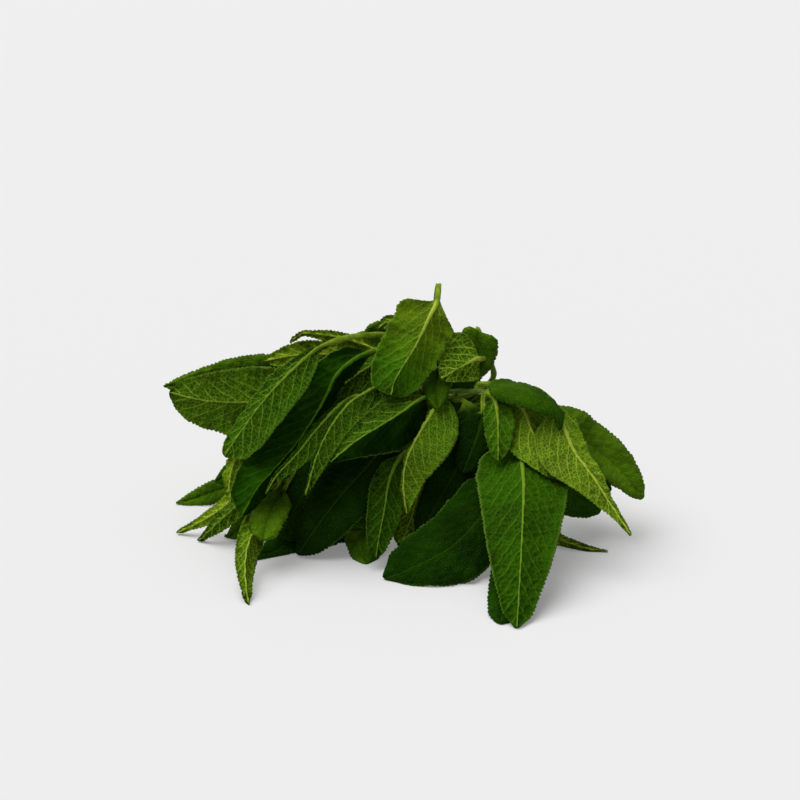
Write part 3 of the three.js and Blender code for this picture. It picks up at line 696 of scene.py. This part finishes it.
def leaf_relief_tree():
    """The relief of a leaf's skin, from its per-point attributes, and its two materials."""
    tree = new_group("leaf relief", [
        ("Midrib Height", "NodeSocketFloat", 0.75),
        ("Vein Height", "NodeSocketFloat", 0.25),
        ("Pebble Height", "NodeSocketFloat", 0.12),
        ("Dome Height", "NodeSocketFloat", 0.45),
        ("Cup Height", "NodeSocketFloat", 0.6),
        ("Wave Height", "NodeSocketFloat", WAVE_HEIGHT),
        ("Ripple Height", "NodeSocketFloat", RIPPLE_HEIGHT),
        ("Roll Height", "NodeSocketFloat", 0.7),
        ("Tooth Depth", "NodeSocketFloat", TOOTH_DEPTH),
        ("Tooth Pitch", "NodeSocketFloat", TOOTH_PITCH),
        ("Seed", "NodeSocketFloat", 0.0),
        ("Upper Skin", "NodeSocketMaterial", None),
        ("Under Skin", "NodeSocketMaterial", None),
    ])
    web = Web(tree)
    given = web.node("NodeGroupInput")
    put = {socket.name: Term(web, socket) for socket in given.outputs if socket.name}
    veins = Veins(web)
    across = web.attribute("across")
    blade = web.attribute("blade")
    rib = web.attribute("rib")
    breadth = web.attribute("breadth")
    skin = web.attribute("skin")
    up = web.attribute("up", "FLOAT_VECTOR").socket
    out = web.attribute("out", "FLOAT_VECTOR").socket
    under = skin.fall(-1.0, 0.0)
    inner = across.fall(*INSIDE_MARGIN)

    # both skins move together: domes between the veins, cupped halves, waves and a rolled margin
    dome = web.smallest(veins.field_at, veins.side_at).rise(*DOME_RISE)
    dome = dome * put["Dome Height"] * blade * inner
    moved = dome * veins.midrib_at.rise(*MIDRIB_VALLEY)
    cup = (across * (1.0 - across)) * 4.0
    moved = moved + cup * put["Cup Height"] * blade
    waving = web.vector(veins.x * WAVE_STRETCH, veins.y, put["Seed"])
    slow, quick = [(web.noise(waving, scale, 1.0) - 0.5) * share for scale, share in WAVE_NOISES]
    moved = moved + (slow + quick) * put["Wave Height"] * across * blade * breadth
    rim = web.attribute("rim")
    rippling = web.vector(rim, web.math("SIGN", veins.x) * SIDES_APART, put["Seed"])
    ripple = (web.noise(rippling, RIPPLE_SCALE, 1.0) - 0.5) * put["Ripple Height"]
    moved = moved + ripple * across.power(RIPPLE_CROWDING) * blade * breadth
    moved = moved - across.rise(ROLL_START, 1.0) * put["Roll Height"] * blade

    # only the under side: the midrib stands out, side veins and net a little
    ridge = web.largest(1.0 - veins.midrib_at * veins.midrib_at, 0.0)
    standing = web.math("SQRT", ridge) * rib * put["Midrib Height"]
    lines = veins.side_at.fall(0.1, 0.8) + veins.field_at.fall(0.0, 0.7) * 0.5
    standing = standing + lines * put["Vein Height"] * blade * inner
    moved = moved - standing * under

    # only the upper side: small pebbles
    moved = moved + veins.pebble * put["Pebble Height"] * (1.0 - under) * blade * inner

    # a toothed margin, its teeth neither quite evenly spaced nor equally deep
    uneven = web.noise(web.vector(rim, 0.0, put["Seed"]), TOOTH_NOISE, 1.0)
    turn = (rim + uneven * TOOTH_STRAY) * math.pi / put["Tooth Pitch"]
    inset = (web.math("SINE", turn).size() - 1.0) * put["Tooth Depth"] * uneven.rise(0.2, 0.7)
    inset = inset * across.rise(*TOOTH_BAND) * blade
    shift = web.summed(web.scaled(up, moved * MM), web.scaled(out, inset * MM))

    # nothing sinks into the floor
    x, y, z = web.parts(web.summed(web.node("GeometryNodeInputPosition").outputs[0], shift))
    lowest = (skin * web.parts(up)[2]).rise(-0.1, 0.1) * FLOOR_GAP[1] + FLOOR_GAP[0]
    position = web.vector(x, y, web.largest(z, lowest * MM))
    placed = web.node("GeometryNodeSetPosition")
    web.feed(placed, "Geometry", given.outputs[0], "Position", position)
    solid = web.node("GeometryNodeRealizeInstances")
    web.feed(solid, 0, placed.outputs[0])
    upper = web.node("GeometryNodeSetMaterial")
    web.feed(upper, "Geometry", solid.outputs[0], "Material", put["Upper Skin"])
    lower = web.node("GeometryNodeSetMaterial")
    below = web.node("FunctionNodeCompare", operation="LESS_THAN")
    web.feed(below, 0, skin, 1, -0.1)
    web.feed(lower, "Geometry", upper.outputs[0], "Selection", below.outputs[0])
    web.feed(lower, "Material", put["Under Skin"])
    end = web.node("NodeGroupOutput")
    web.feed(end, 0, lower.outputs[0])
    return tree


def set_inputs(modifier, values):
    """Sets a node modifier's inputs, each found by its name and set by its identifier."""
    sockets = {s.name: s.identifier for s in modifier.node_group.interface.items_tree
               if s.item_type == "SOCKET" and s.in_out == "INPUT"}
    for name, value in values.items():
        modifier[sockets[name]] = value


def baked(piece, tree, values):
    """The piece with the tree's result as its own plain mesh."""
    modifier = piece.modifiers.new(tree.name, "NODES")
    modifier.node_group = tree
    set_inputs(modifier, values)
    graph = bpy.context.evaluated_depsgraph_get()
    result = bpy.data.meshes.new_from_object(piece.evaluated_get(graph), depsgraph=graph)
    old = piece.data
    piece.modifiers.remove(modifier)
    result.name = piece.name
    piece.data = result
    bpy.data.meshes.remove(old)
    return piece


# --- Materials: colours in screen values, noise scales in turns per metre ---
# The darker greens also serve as painted shade for leaves deep in the heap, the brighter ones as
# painted light for lit leaves.
UNDER_GREENS = ((9, 34, 0), (47, 98, 0), (140, 166, 16))  # at a dark, middling and bright tone
UPPER_GREENS = ((6, 30, 0), (42, 90, 0), (100, 142, 16))
UPPER_PATCHES = ((10, 40, 0), (50, 100, 4), (114, 154, 26))
UNDER_PATCH = (46, 96, 0)
UNDER_SHADE, UPPER_SHADE = (5, 24, 0), (3, 18, 0)
SPOT_BROWN = (92, 84, 10)
UNDER_FIELD_SHADE = (8, 38, 0)     # painted shade in the hollows between the raised veins of the net
NET_GREENS = ((48, 108, 0), (180, 224, 66))  # of the raised veins, from dull to pale
RIB_GREENS = ((60, 112, 4), (200, 218, 80))  # and of the midrib under the leaf
# painted highlight on the pebble tops of the upper side
PEBBLE_HIGHLIGHT = (88, 136, 30)
SUNK_VEIN_SHADE = (6, 32, 0)      # painted shade in the sunk veins of the upper side
UPPER_RIB = (60, 96, 16)
# the pale rim: partly the margin's down, partly a painted highlight where light catches the edge
UNDER_RIM, UPPER_RIM = (104, 136, 48), (86, 120, 40)
STALK_GREENS = ((100, 132, 22), (146, 172, 54))
STEM_GREENS = ((92, 122, 36), (136, 164, 68))
BARK_BROWNS = ((92, 80, 46), (142, 126, 82))
PITH, HEARTWOOD = (206, 196, 150), (176, 164, 104)
FURROW_SHADE = 0.55          # of the darker colour of a stem, in its furrows
PITH_RING, BARK_RING = (0.25, 0.4), (0.84, 0.95)  # where a cut end turns to wood, and to bark
PATCH_SCALE, SHADE_SCALE, SPOT_SCALE, SPOT_AREA_SCALE = 120.0, 75.0, 520.0, 60.0
DOWN_SCALE = 2600.0
RIM_BAND = (0.92, 1.0)       # where, from midrib to margin, the pale rim begins and is full
RIM_STRENGTH = 0.7
SPECULAR_LEVEL = 0.02
SHEEN_ROUGHNESS = 0.5


def linear(red, green, blue):
    """A colour written as eight-bit screen values, as the shader takes it."""
    def straight(value):
        value /= 255
        return value / 12.92 if value < 0.04045 else ((value + 0.055) / 1.055) ** 2.4

    return (straight(red), straight(green), straight(blue), 1.0)


def new_material(name, roughness, sheen=0.0):
    material = bpy.data.materials.new(name)
    material.use_nodes = True
    shader = material.node_tree.nodes["Principled BSDF"]
    shader.inputs["Roughness"].default_value = roughness
    shader.inputs["Specular IOR Level"].default_value = SPECULAR_LEVEL
    shader.inputs["Sheen Weight"].default_value = sheen
    shader.inputs["Sheen Roughness"].default_value = SHEEN_ROUGHNESS
    return material, Web(material.node_tree), shader


def blend(web, a, b, share):
    """Colour a, turning into b as share goes from 0 to 1."""
    node = web.node("ShaderNodeMix", data_type="RGBA")
    node.clamp_factor = True
    web.feed(node, 0, share, 6, a, 7, b)
    return node.outputs[2]


def by_tone(web, tone, greens):
    """A colour by tone, of three: dark at 0, middling at 0.3, bright at 1."""
    dark, middling, bright = [linear(*green) for green in greens]
    return blend(web, blend(web, dark, middling, tone / 0.3), bright, (tone - 0.3) / 0.7)


def stalk_colour(web):
    """Pale stalk green with fine lengthwise streaks."""
    x, y, _ = web.parts(web.attribute("flat", "FLOAT_VECTOR").socket)
    streaks = web.noise(web.vector(x * 3.0, y * 0.25), 1.0, 3.0)
    dull, pale = STALK_GREENS
    return blend(web, linear(*dull), linear(*pale), streaks.rise(0.3, 0.7))


def object_place(web):
    """Places in the piece's own space, in metres."""
    return web.node("ShaderNodeTexCoord").outputs["Object"]


def shaded(web, colour, place, shade, strength):
    """The colour, darker in broad patches."""
    patches = web.noise(place, SHADE_SCALE, 1.0).fall(0.32, 0.62)
    return blend(web, colour, linear(*shade), patches * strength)


def finish_blade(web, shader, colour, rim_colour):
    """Puts a blade's colour on the leaf, with the pale rim, partly its down and partly a painted
    highlight along the margin, and the stalk.
    """
    rim = web.attribute("across").rise(*RIM_BAND) * RIM_STRENGTH
    colour = blend(web, colour, linear(*rim_colour), rim)
    colour = blend(web, stalk_colour(web), colour, web.attribute("blade").rise(0.0, 0.7))
    web.feed(shader, "Base Color", colour)


def downy_bump(web, shader, height):
    """Fine down over a given height, in half millimetres."""
    down = web.noise(object_place(web), DOWN_SCALE, 2.0)
    node = web.node("ShaderNodeBump")
    web.feed(node, "Strength", 0.6, "Distance", MM * 0.5, "Height", height + down * 0.35)
    web.feed(shader, "Normal", node.outputs[0])


def under_skin():
    """The leaf's paler under side, with a raised pale net of veins."""
    material, web, shader = new_material("sage leaf under side", 0.7)
    veins = Veins(web)
    tone, net_strength = web.attribute("tone"), web.attribute("net_strength")
    place = object_place(web)
    patch = web.noise(place, PATCH_SCALE, 2.0).rise(0.4, 0.75)
    base = blend(web, by_tone(web, tone, UNDER_GREENS), linear(*UNDER_PATCH), patch * 0.3)
    base = shaded(web, base, place, UNDER_SHADE, 0.5)
    spots = web.noise(place, SPOT_SCALE, 2.0).rise(0.5, 0.7)
    spots = spots * web.noise(place, SPOT_AREA_SCALE, 1.0).rise(0.4, 0.6)
    base = blend(web, base, linear(*SPOT_BROWN), spots * net_strength * 0.55)
    # painted shade in the hollows between the raised veins
    fields = veins.net_at.rise(0.05, 0.5) * net_strength * 0.6
    base = blend(web, base, linear(*UNDER_FIELD_SHADE), fields)
    lines = web.largest(veins.net, veins.middle * 0.4, veins.fine * 0.3) * net_strength
    fading = web.attribute("across").fall(0.5, 1.0) * 0.6 + 0.4
    lines = web.largest(lines, veins.side * fading * (net_strength * 0.9 + 0.15))
    dull, pale = NET_GREENS
    raised = blend(web, linear(*dull), linear(*pale), tone * 1.4 + net_strength * 0.25)
    colour = blend(web, base, raised, lines * 0.85)
    dull, pale = RIB_GREENS
    ribbed = blend(web, linear(*dull), linear(*pale), tone + net_strength * 0.25)
    finish_blade(web, shader, blend(web, colour, ribbed, veins.midrib), UNDER_RIM)
    downy_bump(web, shader, lines * 1.2 + veins.net_at.rise(0.0, 0.6) * net_strength * 0.5)
    return material


def upper_skin():
    """The leaf's dark upper side, pebbled between its sunk veins, with painted highlights on the
    pebble tops and painted shade in the veins.
    """
    material, web, shader = new_material("sage leaf upper side", 0.6)
    veins = Veins(web)
    tone = web.attribute("tone")
    place = object_place(web)
    patch = web.noise(place, PATCH_SCALE, 2.0)
    greens, patches = by_tone(web, tone, UPPER_GREENS), by_tone(web, tone, UPPER_PATCHES)
    base = blend(web, greens, patches, patch.rise(0.35, 0.7))
    base = shaded(web, base, place, UPPER_SHADE, 0.45)
    # painted highlight on the pebble tops
    pebble_highlight = veins.pebble * patch.rise(0.1, 0.7) * (tone * 0.35 + 0.15)
    base = blend(web, base, linear(*PEBBLE_HIGHLIGHT), pebble_highlight)
    sunk = web.largest(veins.net * 0.7, veins.side, veins.middle_at.fall(0.0, 0.4) * 0.7)
    # painted shade in the sunk veins
    colour = blend(web, base, linear(*SUNK_VEIN_SHADE), sunk * 0.4)
    colour = blend(web, colour, linear(*UPPER_RIB), veins.midrib * 0.45)
    finish_blade(web, shader, colour, UPPER_RIM)
    downy_bump(web, shader, (1.0 - sunk) * 0.6 + veins.pebble)
    return material


def stem_material(name, low, high, roughness, furrows):
    """Skin of a stem with lengthwise streaks; a cut end shows pale wood around its pith."""
    material, web, shader = new_material(name, roughness, 0.1)
    x, y, z = web.parts(web.attribute("stem_at", "FLOAT_VECTOR").socket)
    streaks = web.noise(web.vector(x * 2.5, y * 0.12, z * 2.5), 1.0, 4.0)
    colour = blend(web, linear(*low), linear(*high), streaks.rise(0.3, 0.7))
    furrow = linear(*[part * FURROW_SHADE for part in low])
    colour = blend(web, colour, furrow, streaks.fall(0.25, 0.42) * furrows)
    from_pith = web.math("SQRT", x * x + z * z) * (1 / SKIN_AT)
    wood = blend(web, linear(*PITH), linear(*HEARTWOOD), from_pith.rise(*PITH_RING))
    wood = blend(web, wood, linear(*low), from_pith.rise(*BARK_RING))
    colour = blend(web, colour, wood, y.fall(-0.9, -0.1))
    web.feed(shader, "Base Color", colour)
    downy_bump(web, shader, streaks * (1.0 + 2.0 * furrows))
    return material


# --- Stems: millimetres, and shares of a stem's radius ---
STEM_AROUND = 28
STEM_STEP = 0.5
FLARE = 1.15                 # of a shoot where it leaves its stem
SQUARENESS = 3.2             # power of the section: 2 would be round
SECTION_SIZE = 0.94          # mean of the section
BARK_DEPTH = 0.09            # of the furrows of woody bark
BARK_FURROWS = (7, 12)       # two sets of them around the stem
JOINT_SPACING = 15.0         # between the swollen joints of a stem
JOINT_START, JOINT_MIDDLE, JOINT_WIDTH = 4.0, 8.0, 1.6
JOINT_WAIST, JOINT_SWELLING = 0.95, 0.2
TWIST, TWIST_LENGTH = 0.25, 5.0          # of the section along a stem
SIDE_HINT = (0.3, 0.2, 1.0)  # a direction that no stem starts out along
CUT_INSET = 0.9              # of the foot's face, within its bevelled rim
TIP_RISE = 0.4
SKIN_AT = 2.0                # how far out the skin lies, for the grain


def stem_section(angles, woody):
    """Distance of the skin from the centre line, as a share of the radius: nearly square."""
    corners = np.abs(np.cos(angles)) ** SQUARENESS + np.abs(np.sin(angles)) ** SQUARENESS
    square = 1 / corners ** (1 / SQUARENESS)
    section = SECTION_SIZE * square / square.mean()
    if woody:
        wide, narrow = BARK_FURROWS
        section = section + BARK_DEPTH * (np.sin(wide * angles) + np.sin(narrow * angles + 1)) / 2
    return section


def stem_rows(node):
    """Rows of skin points along a stem, its centre line and the places along it."""
    centres, radii = STEM_LINES[node]
    if node != "stem_main":
        root, gap = nearest_on_stem(centres[0], own=node)
        if gap < JOIN_REACH:
            centres = np.concatenate([[root], centres])
            radii = np.concatenate([[radii[0] * FLARE], radii])
    reach = lengths_along(centres)
    places = np.linspace(0, reach[-1], int(reach[-1] / STEM_STEP) + 2)
    line = through(reach, centres, places)
    from_joint = ((places + JOINT_START) % JOINT_SPACING - JOINT_MIDDLE) / JOINT_WIDTH
    swelling = JOINT_WAIST + JOINT_SWELLING * np.exp(-from_joint ** 2)
    radius = through(reach, radii, places) * swelling
    forward = unit(np.gradient(line, axis=0))
    side = unit(np.cross(forward[0], SIDE_HINT))
    angles = np.linspace(0, 2 * math.pi, STEM_AROUND, endpoint=False)
    rows = []
    for centre, ahead, size, place in zip(line, forward, radius, places):
        side = unit(side - ahead * (side @ ahead))
        other = np.cross(ahead, side)
        spokes = np.cos(angles)[:, None] * side + np.sin(angles)[:, None] * other
        turned = angles + TWIST * math.sin(place / TWIST_LENGTH)
        section = stem_section(turned, node == "stem_main")
        rows.append(centre + spokes * (size * section)[:, None])
    return np.array(rows), line, places, angles


def stem_piece(node, material):
    """A stem as one closed skin, with its grain's places as an attribute."""
    rows, line, places, angles = stem_rows(node)
    inner = line[0] + (rows[0] - line[0]) * CUT_INSET
    rows = np.concatenate([[inner], rows])
    places = np.concatenate([[-1], places])
    count, loop = rows.shape[:2]
    forward = unit(line[-1] - line[-2])
    points = np.concatenate([rows.reshape(-1, 3), line[:1], line[-1:] + forward * TIP_RISE])
    near = np.arange(loop)[None]
    far = (near + 1) % loop
    start = np.arange(count - 1)[:, None] * loop
    quads = np.stack([start + near, start + far, start + far + loop, start + near + loop], axis=2)
    last, low, high = (count - 1) * loop, count * loop, count * loop + 1
    ends = [((k + 1) % loop, k, low) for k in range(loop)]
    ends += [(last + k, last + (k + 1) % loop, high) for k in range(loop)]
    wide = np.full((count, 1), SKIN_AT)
    wide[0] *= CUT_INSET
    lengthwise = np.broadcast_to(places[:, None], (count, loop))
    grain = np.stack([wide * np.cos(angles), lengthwise, wide * np.sin(angles)], axis=2)
    grain = grain.reshape(-1, 3)
    grain = np.concatenate([grain, [[0, -1, 0]], grain[-1:]])
    faces = quads.reshape(-1, 4).tolist() + ends
    piece = mesh_object("sage_" + node, points, faces, {"stem_at": grain})
    piece.data.materials.append(material)
    return piece


# --- The whole sprig ----------------------------------
SEED_STEP = 7.3              # between the seeds of one leaf and the next
SLOTS = {row["node"]: row["material_slot"] for row in frame["record"]["subparts"]}


def attach(piece, node):
    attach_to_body(piece, "root")
    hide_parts(node)


def by_half(value, outwards):
    """One number for a whole leaf, or a pair of them for its left and its right half."""
    left, right = value if isinstance(value, tuple) else (value, value)
    return np.where(outwards < 0, left, right)


def build_leaves():
    tree = leaf_relief_tree()
    upper, under = upper_skin(), under_skin()
    names = sorted(name for name in frame["nodes"] if name.startswith("leaf_"))
    for number, node in enumerate(names):
        tone, net_strength, waviness, net_size = LOOKS.get(node, PLAIN_LOOK)
        points, faces, values = leaf_skin(node)
        # painted light and shade along the leaf, darker or lighter towards its tip
        darkening = TIP_DARKENING.get(node, 0) * (0.5 - values["along"])
        values["tone"] = by_half(tone, values["flat"][:, 0]) + darkening
        values["net_strength"] = by_half(net_strength, values["flat"][:, 0])
        values["net_size"] = np.full(len(points), net_size)
        piece = mesh_object("sage_" + node, points, faces, values)
        piece = baked(piece, tree, {
            "Wave Height": WAVE_HEIGHT * waviness, "Ripple Height": RIPPLE_HEIGHT * waviness,
            "Seed": SEED_STEP * number, "Upper Skin": upper, "Under Skin": under,
        })
        attach(piece, node)


def build_stems():
    green = stem_material("sage green stem", *STEM_GREENS, roughness=0.6, furrows=0.0)
    woody = stem_material("sage woody stem", *BARK_BROWNS, roughness=0.85, furrows=0.8)
    for node in STEM_LINES:
        slot = SLOTS[node]
        attach(stem_piece(node, woody if slot == "woody_stem" else green), node)


# --- Floor, light and camera: metres and degrees ------
FLOOR_REACH = 6.0
FLOOR_COLOUR = (212, 212, 212)
FLOOR_GLOW = 0.185           # lifts the floor and the shadow on it
BACKDROP_COLOUR = (242, 242, 243)
SKY_STRENGTH = 0.25
LAMP_STRENGTH = 2.6
LAMP_ANGLE = 60.0
LAMP_FROM = (-0.36, 0.07, 0.9)
CAMERA_LENS = 70.2
CAMERA_TILT = 68.0           # from straight down
CAMERA_PLACE = (-0.00165, -0.56124, 0.2798)   # from the sprig's middle, and over the floor


def seen_straight(web):
    """1 for rays from the camera and for mirrored ones, so that what it turns on lights nothing."""
    rays = web.node("ShaderNodeLightPath")
    return web.math("MAXIMUM", rays.outputs["Is Camera Ray"], rays.outputs["Is Glossy Ray"])


def build_floor():
    mesh = bpy.data.meshes.new("floor")
    far = FLOOR_REACH
    corners = [(-far, -far, 0), (far, -far, 0), (far, far, 0), (-far, far, 0)]
    mesh.from_pydata(corners, [], [(0, 1, 2, 3)])
    floor = bpy.data.objects.new("floor", mesh)
    bpy.context.scene.collection.objects.link(floor)
    material, web, shader = new_material("pale floor", 0.9)
    web.feed(shader, "Base Color", linear(*FLOOR_COLOUR), "Specular IOR Level", 0.1)
    web.feed(shader, "Emission Color", linear(255, 255, 255))
    web.feed(shader, "Emission Strength", seen_straight(web) * FLOOR_GLOW)
    mesh.materials.append(material)


def build_light():
    world = bpy.data.worlds.new("soft studio")
    bpy.context.scene.world = world
    world.use_nodes = True
    web = Web(world.node_tree)
    sky = world.node_tree.nodes["Background"]
    seen = web.node("ShaderNodeBackground")
    web.feed(seen, "Color", linear(*BACKDROP_COLOUR), "Strength", 1.0)
    web.feed(sky, "Color", (1.0, 1.0, 1.0, 1.0), "Strength", SKY_STRENGTH)
    mix = web.node("ShaderNodeMixShader")
    web.feed(mix, 0, seen_straight(web), 1, sky.outputs[0], 2, seen.outputs[0])
    web.feed(world.node_tree.nodes["World Output"], 0, mix.outputs[0])
    lamp = bpy.data.lights.new("window", "SUN")
    lamp.energy = LAMP_STRENGTH
    lamp.angle = math.radians(LAMP_ANGLE)
    window = bpy.data.objects.new("window", lamp)
    window.rotation_euler = (-Vector(LAMP_FROM)).to_track_quat("-Z", "Y").to_euler()
    bpy.context.scene.collection.objects.link(window)


def build_camera():
    data = bpy.data.cameras.new("camera")
    data.lens = CAMERA_LENS
    camera = bpy.data.objects.new("camera", data)
    middle = (BOX_LOW + BOX_HIGH) / 2
    right, forward, height = CAMERA_PLACE
    camera.location = (middle.x + right, middle.y + forward, height)
    camera.rotation_euler = (math.radians(CAMERA_TILT), 0, 0)
    bpy.context.scene.collection.objects.link(camera)
    bpy.context.scene.camera = camera


bpy.context.scene.view_settings.view_transform = "Standard"
build_leaves()
build_stems()
build_floor()
build_light()
build_camera()
